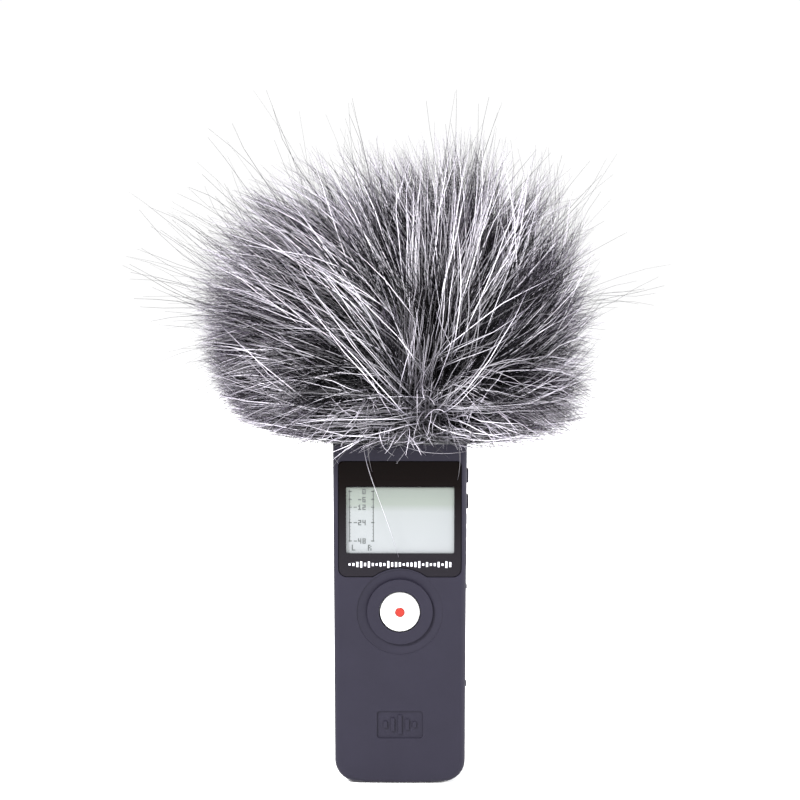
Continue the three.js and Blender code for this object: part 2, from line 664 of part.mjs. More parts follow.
const electronics = group();
add(electronics, "main_board", mainBoard(), BOARD_GREEN);
add(electronics, "processor_chip", block(-6, 6, -0.8, 0.8, -6, 6), RUBBER, -6, BOARD.front - 1.0, 30);
add(electronics, "display_ribbon", block(-8, 8, -0.15, 0.15, -3.6, 3.6), BRASS, 0, BOARD.front - 0.5, 70);
add(electronics, "card_socket", cardSocket(), STEEL);
const switchBody = join(block(-3, 3, -8.4, BOARD.front - 0.2, -3, 3), rodY(1.7, -9.6, -8, 0, 0, 16));
add(electronics, "record_switch", switchBody, STEEL, 0, 0, DISH.z);
const speakerBody = join(
  rodY(SPEAKER.radius, SPEAKER.front, SPEAKER.back, 0, 0, 28),
  rodY(5.5, SPEAKER.front - 2, SPEAKER.front + 1, 0, 0, 24),
);
add(electronics, "speaker", speakerBody, RUBBER, 0, 0, SPEAKER.z);
add(electronics, "rear_switch_bank", rearSwitchBank(), INNER_PLASTIC);
const powerSwitch = block(15.0, 18.6, -2.4, 2.4, -4.4, 4.4);
add(electronics, "power_switch", powerSwitch, STEEL, 0, 0, POWER.z - 1);
add(electronics, "right_key_switches", keySwitches(RIGHT_KEYS), INNER_PLASTIC);
add(electronics, "line_in_jack", jackSocket(), RUBBER, 0, 0, JACK.z);

// What is on the left-hand side is made facing right and turned half round.
const left = group(electronics);
left.rotation.z = Math.PI;
add(left, "left_key_switches", keySwitches(LEFT_KEYS), INNER_PLASTIC);
add(left, "phones_jack", jackSocket(), RUBBER, 0, 0, JACK.z);
add(left, "usb_port", usbPort(), STEEL, 0, 0, USB.z);

const power = group();
add(power, "battery_tray", batteryTray(), INNER_PLASTIC);
add(power, "battery", batteryCell(), BATTERY_SKIN, 0, BATTERY.y, BATTERY.bottom);
add(power, "positive_contact", block(-5, 5, -5, 5, -0.3, 0.3), STEEL, 0, BATTERY.y, 61.4);
add(power, "negative_spring", contactSpring(), STEEL, 0, BATTERY.y, 8.95);
add(power, "battery_cover", batteryCover(), CASE_PLASTIC);

const controls = group();
add(controls, "record_button", recordButton(), WHITE_PLASTIC, 0, 0, DISH.z);
const buttonFace = -HALF_DEPTH - BUTTON.proud;
add(controls, "record_dot", rodY(1.55, 0.05, 0.45, 0, 0, 16), RED_PRINT, 0, buttonFace, DISH.z);
for (const key of RIGHT_KEYS) add(controls, key.name, sideKey(key), KEY_RUBBER, 0, 0, key.z);
const leftControls = group(controls);
leftControls.rotation.z = Math.PI;
for (const key of LEFT_KEYS) add(leftControls, key.name, sideKey(key), KEY_RUBBER, 0, 0, key.z);
add(controls, "power_slider", powerSlider(), KEY_RUBBER, 0, 0, POWER.z);
["low_cut_slider", "auto_level_slider", "format_slider"].forEach((name, i) => {
  const restsAt = rearSwitchPlaces[i] - REAR_SWITCH.travel / 2;
  add(controls, name, rearSlider(), INNER_PLASTIC, restsAt, 0, REAR_SWITCH.z);
});
const cardPlate = block(-CARD.length / 2, CARD.length / 2, -CARD.thick / 2, CARD.thick / 2, -CARD.half, CARD.half);
add(controls, "memory_card", cardPlate, RUBBER, 5.6 + CARD.length / 2, CARD.y, CARD.z);

const microphones = group();
add(microphones, "capsule_bracket", capsuleBracket(), RUBBER);
for (const [name, side] of [["left", -1], ["right", 1]]) {
  placeCapsule(add(microphones, `${name}_capsule`, capsule(), STEEL), side);
  placeCapsule(add(microphones, `${name}_boot`, capsuleBoot(), RUBBER), side);
}

const windscreen = group();
add(windscreen, "windscreen_cuff", cuff(), KNIT);
add(windscreen, "windscreen_sleeve", sleeve(), KNIT);
add(windscreen, "windscreen_fur", furPile(), FUR_PILE);

export default recorder;
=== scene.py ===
import json
import math

import bmesh
import bpy
import numpy as np
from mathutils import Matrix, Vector


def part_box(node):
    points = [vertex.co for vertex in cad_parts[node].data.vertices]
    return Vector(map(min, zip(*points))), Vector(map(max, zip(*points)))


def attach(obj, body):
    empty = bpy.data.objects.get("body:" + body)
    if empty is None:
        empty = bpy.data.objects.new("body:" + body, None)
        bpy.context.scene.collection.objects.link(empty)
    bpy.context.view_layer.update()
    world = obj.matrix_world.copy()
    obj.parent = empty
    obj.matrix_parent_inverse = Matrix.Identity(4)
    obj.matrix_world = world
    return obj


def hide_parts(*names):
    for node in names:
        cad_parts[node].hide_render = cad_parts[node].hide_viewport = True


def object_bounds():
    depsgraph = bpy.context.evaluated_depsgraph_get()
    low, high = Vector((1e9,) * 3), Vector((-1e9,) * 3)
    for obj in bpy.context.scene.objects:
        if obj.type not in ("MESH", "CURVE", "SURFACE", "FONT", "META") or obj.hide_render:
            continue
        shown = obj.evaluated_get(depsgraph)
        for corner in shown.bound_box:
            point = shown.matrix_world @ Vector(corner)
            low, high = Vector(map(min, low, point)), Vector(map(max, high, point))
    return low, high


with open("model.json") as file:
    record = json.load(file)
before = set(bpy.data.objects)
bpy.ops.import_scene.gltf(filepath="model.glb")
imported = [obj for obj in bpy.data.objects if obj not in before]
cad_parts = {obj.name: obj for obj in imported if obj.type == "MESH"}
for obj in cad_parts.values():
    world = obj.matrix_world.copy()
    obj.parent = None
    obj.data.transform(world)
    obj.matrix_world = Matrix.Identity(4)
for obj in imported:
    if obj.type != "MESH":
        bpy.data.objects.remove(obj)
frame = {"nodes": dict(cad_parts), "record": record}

# A portable recorder in a fur windscreen. Lengths are in metres, but box_mm and the shapes of the pieces are
# in millimetres.
MM = 0.001
CAD_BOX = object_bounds()
SCENE = bpy.context.scene
BODY_OF = {n: b for b, nodes in frame["record"]["behaviour"]["bodies"].items() for n in nodes}
SLOT_OF = {s["node"]: s["material_slot"] for s in frame["record"]["subparts"]}


def box_mm(node):
    low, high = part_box(node)
    return np.array(low) / MM, np.array(high) / MM


# ---- Camera, light and floor ----
def aim(obj, target):
    obj.rotation_euler = (Vector(target) - obj.location).to_track_quat("-Z", "Y").to_euler()


def make_camera():
    azimuth, elevation, distance = math.radians(0.5), math.radians(6), 0.7
    target = Vector((-0.0001, 0, 0.1262))
    away = Vector((math.sin(azimuth) * math.cos(elevation), -math.cos(azimuth) * math.cos(elevation),
                   math.sin(elevation)))
    data = bpy.data.cameras.new("camera")
    data.lens = 94.8
    data.sensor_width = 36
    data.clip_start = 0.01
    camera = bpy.data.objects.new("camera", data)
    camera.location = target + away * distance
    SCENE.collection.objects.link(camera)
    aim(camera, target)
    SCENE.camera = camera


def area_light(name, location, target, size, power, colour=(1, 1, 1)):
    data = bpy.data.lights.new(name, "AREA")
    data.shape = "DISK"
    data.size = size
    data.energy = power
    data.color = colour
    light = bpy.data.objects.new(name, data)
    light.location = location
    SCENE.collection.objects.link(light)
    aim(light, target)


def make_light():
    world = bpy.data.worlds.new("studio")
    world.use_nodes = True
    background = world.node_tree.nodes["Background"]
    background.inputs["Color"].default_value = (1, 1, 1, 1)
    background.inputs["Strength"].default_value = 1.02
    SCENE.world = world
    middle = (0, 0, 0.13)
    area_light("key", (-0.6, -0.65, 0.75), middle, 0.35, 30)
    area_light("fill", (0.5, -0.9, 0.3), middle, 0.8, 6)
    area_light("kicker", (0.95, -0.05, 0.35), middle, 0.4, 17)
    area_light("rim", (-0.3, 0.8, 0.7), middle, 0.6, 10)
    SCENE.view_settings.view_transform = "Standard"


def make_floor():
    rings, sides, radius = 10, 72, 2.5
    mesh = bpy.data.meshes.new("floor")
    verts = [(0, 0, 0)]
    for i in range(1, rings + 1):
        r = radius * (i / rings) ** 2
        verts += [(r * math.cos(2 * math.pi * k / sides), r * math.sin(2 * math.pi * k / sides), 0)
                  for k in range(sides)]
    faces = [(0, 1 + k, 1 + (k + 1) % sides) for k in range(sides)]
    for i in range(rings - 1):
        a, b = 1 + i * sides, 1 + (i + 1) * sides
        faces += [(a + k, b + k, b + (k + 1) % sides, a + (k + 1) % sides) for k in range(sides)]
    mesh.from_pydata(verts, [], faces)
    floor = bpy.data.objects.new("floor", mesh)
    SCENE.collection.objects.link(floor)
    floor.data.materials.append(grained("floor_paper", (0.965, 0.965, 0.97), 0.9, 900, 0.00002, 0.006))


# ---- Materials ----
class Shader:
    """A material of one Principled node, with helpers that add the nodes in front of it."""

    def __init__(self, name, colour, roughness, metallic=0.0, **constants):
        self.material = bpy.data.materials.new(name)
        self.material.use_nodes = True
        self.tree = self.material.node_tree
        self.bsdf = self.tree.nodes["Principled BSDF"]
        self.set("Base Color", (*colour, 1))
        self.set("Roughness", roughness)
        self.set("Metallic", metallic)
        for socket, value in constants.items():
            self.set(socket.replace("_", " "), value)

    def set(self, socket, value):
        self.bsdf.inputs[socket].default_value = value

    def node(self, kind, **inputs):
        node = self.tree.nodes.new(kind)
        for key, value in inputs.items():
            name = key.replace("_", " ")
            if hasattr(value, "is_output"):
                self.tree.links.new(value, node.inputs[name])
            else:
                node.inputs[name].default_value = value
        return node

    def link(self, output, socket):
        self.tree.links.new(output, self.bsdf.inputs[socket])

    def place(self):
        return self.node("ShaderNodeTexCoord").outputs["Object"]

    def noise(self, scale, detail=2.0, roughness=0.5, vector=None):
        vector = vector or self.place()
        node = self.node("ShaderNodeTexNoise", Vector=vector, Scale=scale, Detail=detail, Roughness=roughness)
        return node.outputs["Fac"]

    def ramp(self, factor, stops):
        node = self.node("ShaderNodeValToRGB", Fac=factor)
        elements = node.color_ramp.elements
        while len(elements) < len(stops):
            elements.new(0.5)
        for element, (at, colour) in zip(elements, stops):
            element.position = at
            element.color = (*colour, 1)
        return node.outputs["Color"]

    def span(self, value, low, high):
        node = self.node("ShaderNodeMapRange", Value=value)
        node.inputs["To Min"].default_value = low
        node.inputs["To Max"].default_value = high
        return node.outputs["Result"]

    def bump(self, height, distance, strength=1.0):
        node = self.node("ShaderNodeBump", Height=height, Distance=distance, Strength=strength)
        self.link(node.outputs["Normal"], "Normal")

    def math(self, operation, a, b=0.0):
        node = self.tree.nodes.new("ShaderNodeMath")
        node.operation = operation
        for socket, value in zip(node.inputs, (a, b)):
            if hasattr(value, "is_output"):
                self.tree.links.new(value, socket)
            else:
                socket.default_value = value
        return node.outputs[0]


def shade(colour, factor):
    return tuple(min(c * factor, 1.0) for c in colour)


def grained(name, colour, roughness, scale, depth, variation=0.06, **constants):
    """Moulded or cast surface: fine grain, slow colour drift and uneven gloss."""
    drift_scale, gloss_scale, gloss_range = 90, 350, 0.07
    s = Shader(name, colour, roughness, **constants)
    drift = [(0.3, shade(colour, 1 - variation)), (0.7, shade(colour, 1 + variation))]
    s.link(s.ramp(s.noise(drift_scale, 3), drift), "Base Color")
    gloss = s.span(s.noise(gloss_scale, 4), roughness - gloss_range, min(roughness + gloss_range, 1))
    s.link(gloss, "Roughness")
    s.bump(s.noise(scale, 3, 0.6), depth)
    return s.material


def brushed(name, colour, roughness, stretch=(1, 1, 30), scale=900):
    """Metal with fine lines across it."""
    s = Shader(name, colour, roughness, 1.0)
    mapping = s.node("ShaderNodeMapping", Vector=s.place())
    mapping.inputs["Scale"].default_value = stretch
    lines = s.noise(scale, 3, 0.6, mapping.outputs["Vector"])
    s.link(s.ramp(lines, [(0.3, shade(colour, 0.8)), (0.7, shade(colour, 1.08))]), "Base Color")
    s.link(s.span(lines, roughness - 0.08, roughness + 0.12), "Roughness")
    s.bump(lines, 0.000004)
    return s.material


CASE = (0.0103, 0.0092, 0.0168)


def make_materials():
    m = {}
    m["case"] = grained("case_plastic", CASE, 0.55, 5200, 0.000012, 0.05, Specular_IOR_Level=0.13)
    m["key"] = grained("key_plastic", shade(CASE, 1.1), 0.5, 4200, 0.00001, 0.05, Specular_IOR_Level=0.2)
    m["inner_plastic"] = grained("inner_plastic", (0.018, 0.018, 0.021), 0.55, 3500, 0.00002, 0.1)
    m["white_button"] = grained("white_button", (0.6, 0.6, 0.59), 0.28, 2500, 0.000003, 0.015,
                                Coat_Weight=0.3)
    m["white_film"] = grained("white_film", (0.8, 0.82, 0.8), 0.4, 2500, 0.000003, 0.02)
    m["red_inlay"] = grained("red_inlay", (0.225, 0.011, 0.005), 0.35, 2500, 0.000003, 0.04,
                             Specular_IOR_Level=0.25)
    m["lens"] = lens_material()
    m["board"] = board_material()
    m["flex"] = grained("flex_film", (0.45, 0.2, 0.035), 0.3, 1500, 0.000005, 0.1)
    m["component_black"] = grained("component_black", (0.012, 0.012, 0.013), 0.5, 3000, 0.00001, 0.12)
    m["steel"] = brushed("plated_steel", (0.27, 0.27, 0.266), 0.34)
    m["capsule_metal"] = brushed("capsule_metal", (0.52, 0.52, 0.53), 0.33, (1, 1, 1), 1500)
    m["brass"] = brushed("brass", (0.66, 0.44, 0.16), 0.3)
    m["battery_skin"] = battery_material()
    m["rubber"] = grained("rubber", (0.02, 0.02, 0.022), 0.75, 2600, 0.00002, 0.12)
    m["knit"] = knit_material()
    m["lcd"] = lcd_material()
    m["ink"] = grained("lcd_ink", (0.03, 0.035, 0.035), 0.4, 2500, 0.000002, 0.05)
    m["white_print"] = grained("white_print", (0.52, 0.52, 0.56), 0.4, 2500, 0.000003, 0.03)
    return m


def height_share(shader, node):
    """0 at the lowest point of a node, 1 at its highest."""
    low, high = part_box(node)
    height = shader.node("ShaderNodeSeparateXYZ", Vector=shader.place()).outputs["Z"]
    share = shader.node("ShaderNodeMapRange", Value=height)
    share.inputs["From Min"].default_value = low[2]
    share.inputs["From Max"].default_value = high[2]
    return share.outputs["Result"]


def lens_material():
    """Smoked acrylic with faint wipe marks; its base colour is a painted reflection, darker at the top and
    lighter towards its lower edge.
    """
    s = Shader("lens_gloss", (0.01, 0.01, 0.01), 0.08, Specular_IOR_Level=0.036)
    # Painted reflection: the base colour runs from lighter at the bottom to dark and reddish at the top.
    painted_reflection = s.ramp(height_share(s, "display_lens"), [
        (0.0, (0.0092, 0.0082, 0.0107)), (0.2, (0.0082, 0.0072, 0.009)),
        (0.8, (0.0016, 0.0006, 0.0005)), (1.0, (0.0012, 0.0003, 0.0001))])
    s.link(painted_reflection, "Base Color")
    mapping = s.node("ShaderNodeMapping", Vector=s.place())
    mapping.inputs["Rotation"].default_value = (0, 0.6, 0)
    mapping.inputs["Scale"].default_value = (1, 1, 22)
    s.link(s.span(s.noise(160, 4, 0.6, mapping.outputs["Vector"]), 0.05, 0.16), "Roughness")
    s.bump(s.noise(120, 2), 0.0000015)
    return s.material


def board_material():
    colour = (0.012, 0.075, 0.03)
    s = Shader("solder_mask", colour, 0.32, Coat_Weight=0.3)
    cells = s.node("ShaderNodeTexBrick", Vector=s.place(), Scale=260.0, Mortar_Size=0.03)
    cells.inputs["Color1"].default_value = (*colour, 1)
    cells.inputs["Color2"].default_value = (*shade(colour, 0.8), 1)
    cells.inputs["Mortar"].default_value = (0.03, 0.13, 0.05, 1)
    s.link(cells.outputs["Color"], "Base Color")
    s.bump(cells.outputs["Fac"], 0.00002)
    return s.material


def battery_material():
    """A printed sleeve: green with a copper-coloured band round the positive end."""
    green, copper = (0.015, 0.11, 0.045), (0.5, 0.19, 0.06)
    s = Shader("battery_wrap", green, 0.25, 0.3, Coat_Weight=0.6)
    stops = [(0.0, (0.5, 0.5, 0.5)), (0.02, green), (0.74, green), (0.745, copper), (0.95, copper),
             (0.96, (0.6, 0.6, 0.6))]
    s.link(s.ramp(height_share(s, "battery"), stops), "Base Color")
    s.bump(s.noise(700, 2), 0.000004)
    return s.material


def knit_material():
    colour = (0.022, 0.022, 0.026)
    s = Shader("knit", colour, 0.9, Sheen_Weight=0.4, Sheen_Roughness=0.5)
    wave = s.node("ShaderNodeTexWave", Vector=s.place(), Scale=500.0, Distortion=1.5, Detail=2.0)
    wave.bands_direction = "Z"
    s.link(s.ramp(wave.outputs["Fac"], [(0.2, shade(colour, 0.6)), (0.8, shade(colour, 1.9))]), "Base Color")
    s.bump(wave.outputs["Fac"], 0.0001)
    return s.material


def lcd_material():
    """Reflective display; the darker, greener band along its top edge is painted shade, the shadow of the
    lens border.
    """
    s = Shader("lcd_face", (0.5, 0.5, 0.5), 0.2)
    # Painted shade: the colour darkens and turns greener towards the top, standing in for the lens border's
    # shadow.
    stops = [(0.0, (0.172, 0.182, 0.19)), (0.62, (0.163, 0.175, 0.178)), (0.72, (0.125, 0.143, 0.128)),
             (0.9, (0.115, 0.132, 0.118)), (1.0, (0.098, 0.115, 0.098))]
    s.link(s.ramp(height_share(s, "lcd_glass"), stops), "Base Color")
    s.bump(s.noise(4000, 1), 0.000001)
    return s.material


# ---- Pieces ----
# How a rounded edge is made, and the sharpest angle between faces that is left as it is.
EDGE_SEGMENTS = 2
EDGE_ANGLE = 35


def new_piece(name, mesh, body, material):
    piece = bpy.data.objects.new(name, mesh)
    SCENE.collection.objects.link(piece)
    mesh.materials.append(material)
    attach(piece, body)
    return piece


def refine(node, width=0.15):
    """A finer copy of a CAD node: flat faces made whole and edges rounded by a width in millimetres."""
    mesh = bpy.data.meshes.new(f"{node}_fine")
    bm = bmesh.new()
    bm.from_mesh(frame["nodes"][node].data)
    bmesh.ops.remove_doubles(bm, verts=bm.verts, dist=2e-6)
    bmesh.ops.dissolve_limit(bm, angle_limit=math.radians(0.4), verts=bm.verts, edges=bm.edges)
    bmesh.ops.triangulate(bm, faces=bm.faces, quad_method="BEAUTY", ngon_method="BEAUTY")
    bm.to_mesh(mesh)
    bm.free()
    mesh.shade_smooth()
    slot = SLOT_OF[node]
    piece = new_piece(f"{node}_fine", mesh, BODY_OF[node], MATERIALS[slot])
    if width:
        bevel = piece.modifiers.new("round", "BEVEL")
        bevel.width = width * MM
        bevel.segments = EDGE_SEGMENTS
        bevel.limit_method = "ANGLE"
        bevel.angle_limit = math.radians(EDGE_ANGLE)
        bevel.use_clamp_overlap = True
        bevel.miter_outer = "MITER_ARC"
    normals = piece.modifiers.new("normals", "WEIGHTED_NORMAL")
    normals.keep_sharp = True
    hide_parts(node)
    return piece


def bake_modifiers(piece):
    """Puts a piece's modifiers into its mesh."""
    graph = bpy.context.evaluated_depsgraph_get()
    made = bpy.data.meshes.new_from_object(piece.evaluated_get(graph))
    old = piece.data
    piece.modifiers.clear()
    piece.data = made
    bpy.data.meshes.remove(old)


def mesh_of(name, verts, faces):
    """A mesh from corners in millimetres."""
    mesh = bpy.data.meshes.new(name)
    mesh.from_pydata([tuple(c * MM for c in v) for v in verts], [], faces)
    mesh.validate()
    mesh.update()
    return mesh


# ---- Display ----
# The window cut in the lens, the panel seen through it, and the scales on the panel, in millimetres.
WINDOW = dict(left=-17.6, right=17.75, bottom=77.2, top=99.4, corner=0.5, front=-20, back=-10)
PANEL = dict(half=17.85, bottom=76.9, top=99.0, behind_lens=1.15, chamfer=0.12)
SCALES = dict(left=-16.5, right=-8.7, bottom=81.0, top=98.2, line=0.12, numbers_end=-11.2)
NUMBERS = {97.6: "0", 94.9: "-6", 92.4: "-12", 87.3: "-24", 81.2: "-48"}
SMALL_TICKS = dict(count=14, lowest=82.6, pitch=1.15)
CHANNELS = {"L": -14.6, "R": -9.3}
PRINT = dict(height=73.6, left=-16.5, length=33.0, count=27, half_width=0.33, half_height=1.15)

# Numbers and letters as dots, three across and five down.
GLYPHS = {
    "0": ("111", "101", "101", "101", "111"), "1": ("010", "110", "010", "010", "111"),
    "2": ("111", "001", "111", "100", "111"), "4": ("101", "101", "111", "001", "001"),
    "6": ("111", "100", "111", "101", "111"), "8": ("111", "101", "111", "101", "111"),
    "-": ("000", "000", "111", "000", "000"), "L": ("100", "100", "100", "100", "111"),
    "R": ("110", "101", "110", "101", "101"),
}


def plates(name, rects, front, back, material):
    """Small upright plates on the recorder that face forward, from (x0, z0, x1, z1)."""
    verts, faces = [], []
    for x0, z0, x1, z1 in rects:
        n = len(verts)
        verts += [(x0, front, z0), (x1, front, z0), (x1, front, z1), (x0, front, z1)]
        verts += [(x0, back, z0), (x1, back, z0), (x1, back, z1), (x0, back, z1)]
        faces += [(n, n + 1, n + 2, n + 3), (n + 7, n + 6, n + 5, n + 4), (n, n + 4, n + 5, n + 1),
                  (n + 1, n + 5, n + 6, n + 2), (n + 2, n + 6, n + 7, n + 3), (n + 3, n + 7, n + 4, n)]
    return new_piece(name, mesh_of(name, verts, faces), "recorder", material)


def glyph_rects(text, right, middle, dot):
    """A word of small square dots that ends at right and is centred on a height."""
    across, filled = 4, 0.92
    rects = []
    left = right - (len(text) * across - 1) * dot
    for i, letter in enumerate(text):
        for row, line in enumerate(GLYPHS[letter]):
            for column, on in enumerate(line):
                if on == "1":
                    x = left + (i * across + column) * dot
                    z = middle + (1.5 - row) * dot
                    rects.append((x, z, x + dot * filled, z + dot * filled))
    return rects


def make_lens():
    """The lens from its CAD node, with a window cut in it for the display."""
    lens = refine("display_lens", 0.12)
    cutter = bpy.data.meshes.new("lens_window")
    bm = bmesh.new()
    bmesh.ops.create_cube(bm, size=1)
    for v in bm.verts:
        v.co.x = (WINDOW["right"] if v.co.x > 0 else WINDOW["left"]) * MM
        v.co.y = (WINDOW["back"] if v.co.y > 0 else WINDOW["front"]) * MM
        v.co.z = (WINDOW["top"] if v.co.z > 0 else WINDOW["bottom"]) * MM
    corners = [e for e in bm.edges if abs(e.verts[0].co.y - e.verts[1].co.y) > 0.001]
    bmesh.ops.bevel(bm, geom=corners, offset=WINDOW["corner"] * MM, segments=4, affect="EDGES", profile=0.5)
    bm.to_mesh(cutter)
    bm.free()
    tool = bpy.data.objects.new("lens_window", cutter)
    SCENE.collection.objects.link(tool)
    hole = lens.modifiers.new("window", "BOOLEAN")
    hole.object = tool
    hole.solver = "EXACT"
    lens.modifiers.move(len(lens.modifiers) - 1, 0)
    bake_modifiers(lens)
    bpy.data.objects.remove(tool)


def make_panel(face):
    """The display itself, which reaches forward into the window of the front shell."""
    back = box_mm("lcd_glass")[1][1]
    x, z0, z1, chamfer = PANEL["half"], PANEL["bottom"], PANEL["top"], PANEL["chamfer"]
    verts, faces = [], []
    for depth, edge in ((back, 0.0), (face + chamfer, 0.0), (face, chamfer)):
        verts += [(-x - edge, depth, z0 + edge), (x + edge, depth, z0 + edge)]
        verts += [(x + edge, depth, z1 - edge), (-x - edge, depth, z1 - edge)]
    for i in range(2):
        a, b = 4 * i, 4 * i + 4
        faces += [(a + k, a + (k + 1) % 4, b + (k + 1) % 4, b + k) for k in range(4)]
    faces += [(8, 9, 10, 11), (3, 2, 1, 0)]
    panel = new_piece("lcd_panel", mesh_of("lcd_panel", verts, faces), "recorder", MATERIALS["lcd"])
    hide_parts("lcd_glass")


def make_scales(face):
    """Level meter: two scales with ticks, numbers between them, and the channel letters under them."""
    left, right, line = SCALES["left"], SCALES["right"], SCALES["line"]
    marks = [(x - line, SCALES["bottom"], x + line, SCALES["top"]) for x in (left, right)]
    long, short, outside = 0.75, 0.4, 0.3
    for height, word in NUMBERS.items():
        marks += [(left - outside, height - 0.16, left + long, height + 0.16)]
        marks += [(right - long, height - 0.16, right + outside, height + 0.16)]
        marks += glyph_rects(word, SCALES["numbers_end"], height, 0.36)
    for i in range(SMALL_TICKS["count"]):
        height = SMALL_TICKS["lowest"] + i * SMALL_TICKS["pitch"]
        marks += [(left - line, height - 0.06, left + short, height + 0.06)]
        marks += [(right - short, height - 0.06, right + line, height + 0.06)]
    for letter, end in CHANNELS.items():
        marks += glyph_rects(letter, end, 79.0, 0.4)
    plates("lcd_marks", marks, face - 0.02, face + 0.02, MATERIALS["ink"])


def make_print(front):
    """Printed strip under the display: a plain sound-wave pattern of upright bars."""
    bars = []
    middle, half_width = PRINT["height"], PRINT["half_width"]
    for i in range(PRINT["count"]):
        share = i / (PRINT["count"] - 1)
        swell = 0.3 + 0.7 * abs(math.sin(share * 11.5) * math.cos(i * 1.9))
        x = PRINT["left"] + share * PRINT["length"]
        reach_up = PRINT["half_height"] * swell
        bars.append((x - half_width, middle - reach_up, x + half_width, middle + reach_up))
    plates("lens_print", bars, front - 0.012, front + 0.02, MATERIALS["white_print"])


def make_display():
    front = box_mm("display_lens")[0][1]
    face = front + PANEL["behind_lens"]
    make_lens()
    make_panel(face)
    make_scales(face)
    make_print(front)


# ---- Windscreen ----
def superellipse(ax, ay, z, sides, power):
    """Points round a rounded rectangle of half widths ax and ay: the higher the power, the squarer."""
    points = []
    for k in range(sides):
        a = 2 * math.pi * k / sides
        c, s = math.cos(a), math.sin(a)
        x = ax * math.copysign(abs(c) ** (2 / power), c)
        y = ay * math.copysign(abs(s) ** (2 / power), s)
        points.append((x, y, z))
    return points


def band(a, b, sides):
    """Faces between the ring that starts at corner a and the one that starts at corner b."""
    return [(a + k, a + (k + 1) % sides, b + (k + 1) % sides, b + k) for k in range(sides)]


def make_cuff():
    """Ribbed elastic band round the neck: upright ribs, rolled top and bottom."""
    low, high = box_mm("windscreen_cuff")
    sides, corner = 480, 6
    wall, roll_steps, swell_out = 2.1, 10, 1.75
    rib_every, rib_depth = 4, 0.007
    inner_x, inner_y = high[0] - wall, high[1] - wall
    rings = []
    for step in range(roll_steps + 1):
        a = math.pi * step / roll_steps
        swell = math.sin(a) ** 0.5
        height = low[2] + (high[2] - low[2]) * (1 - math.cos(a)) / 2
        ring = superellipse(inner_x + swell_out * swell, inner_y + swell_out * swell, height, sides, corner)
        ribs = [1 + rib_depth * math.cos(2 * math.pi * k / rib_every) * swell for k in range(sides)]
        rings.append([(x * rib, y * rib, z) for (x, y, z), rib in zip(ring, ribs)])
    rings += [superellipse(inner_x, inner_y, z, sides, corner) for z in (high[2] - 0.3, low[2] + 0.3)]

    verts = [p for ring in rings for p in ring]
    faces = []
    for i in range(len(rings) - 1):
        faces += band(i * sides, (i + 1) * sides, sides)
    faces += band((len(rings) - 1) * sides, 0, sides)
    mesh = mesh_of("knit_cuff", verts, faces)
    mesh.shade_smooth()
    cuff = new_piece("knit_cuff", mesh, "windscreen", MATERIALS["knit"])
    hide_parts("windscreen_cuff")


def lined_shell(name, outer, inner):
    """A bag open below, from rings up its outer skin and down its inner skin, both closed at the top."""
    sides = len(outer[0])
    verts = [p for ring in outer + inner for p in ring]
    faces = []
    for start, number in ((0, len(outer)), (len(outer) * sides, len(inner))):
        for i in range(number - 1):
            faces += band(start + i * sides, start + (i + 1) * sides, sides)
    outer_top, inner_top = (len(outer) - 1) * sides, len(outer) * sides
    rim = (len(outer) + len(inner) - 1) * sides
    faces.append(tuple(outer_top + k for k in range(sides)))
    faces.append(tuple(inner_top + k for k in reversed(range(sides))))
    faces += band(rim, 0, sides)
    mesh = mesh_of(name, verts, faces)
    mesh.shade_smooth()
    return mesh


def make_sleeve():
    """Fabric pouch over the microphone cage, open below, with soft puckers."""
    low, high = box_mm("windscreen_sleeve")
    sides, corner, waves = 96, 5, 4
    phase = np.random.default_rng(11).random(waves) * 2 * math.pi

    def ring(out, z, pucker=0.25):
        points = []
        for k, (x, y, height) in enumerate(superellipse(high[0] + out, high[1] + out, z, sides, corner)):
            a = 2 * math.pi * k / sides
            wave = sum(math.sin((3 + j * 2) * a + phase[j]) for j in range(waves)) * pucker / waves
            points.append((x * (1 + wave / 25), y * (1 + wave / 18), height + wave * 0.3))
        return points

    outer = [ring(-0.9, low[2] + 0.3, 0), ring(-0.35, low[2] + 1.2), ring(-0.2, 124), ring(-0.2, 131),
             ring(-0.4, 136.5), ring(-1.6, 138.6), ring(-5, 139.6, 0.15), ring(-11, 139.9, 0.1),
             ring(-17.0, 139.95, 0)]
    inner = [ring(-17.0, 138.3, 0), ring(-11, 138.3, 0), ring(-4, 138.0, 0), ring(-1.9, 137.2, 0),
             ring(-1.35, 135, 0), ring(-1.3, 124, 0), ring(-1.35, low[2] + 0.3, 0)]
    mesh = lined_shell("pouch", outer, inner)
    pouch = new_piece("pouch", mesh, "windscreen", MATERIALS["knit"])
    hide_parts("windscreen_sleeve")


# ---- Fur: every hair is a thin three-sided tube from the backing out to the pile's outer shape ----
# Sizes in millimetres. Below its centre the pile hangs down no further than its size under. The hairs part at
# x = PARTING: the ones rooted below FAN_HEIGHT are combed to the sides, the ones above it upwards.
BACKING = dict(centre=np.array([0.0, 0.0, 128.0]), radii=np.array([32.0, 26.5, 21.0]))
PILE = dict(centre=np.array([-4.0, 0.0, 126.0]), radii=np.array([72.0, 58.0, 84.0]), under=14.0, power=2.9)
PARTING = 10.0
FAN_HEIGHT = 127.0
# How far the pile spreads by direction, in degrees from straight up, negative to the left.
SPREAD = {-115: 0.66, -92: 0.74, -75: 0.88, -60: 0.97, -30: 1.02, 0: 1.05, 32: 1.14, 60: 1.03, 85: 0.97,
          115: 1.0}
LOWEST_ROOT = 116.6
# Brightness steps from one hair to the next.
COLUMNS = 64


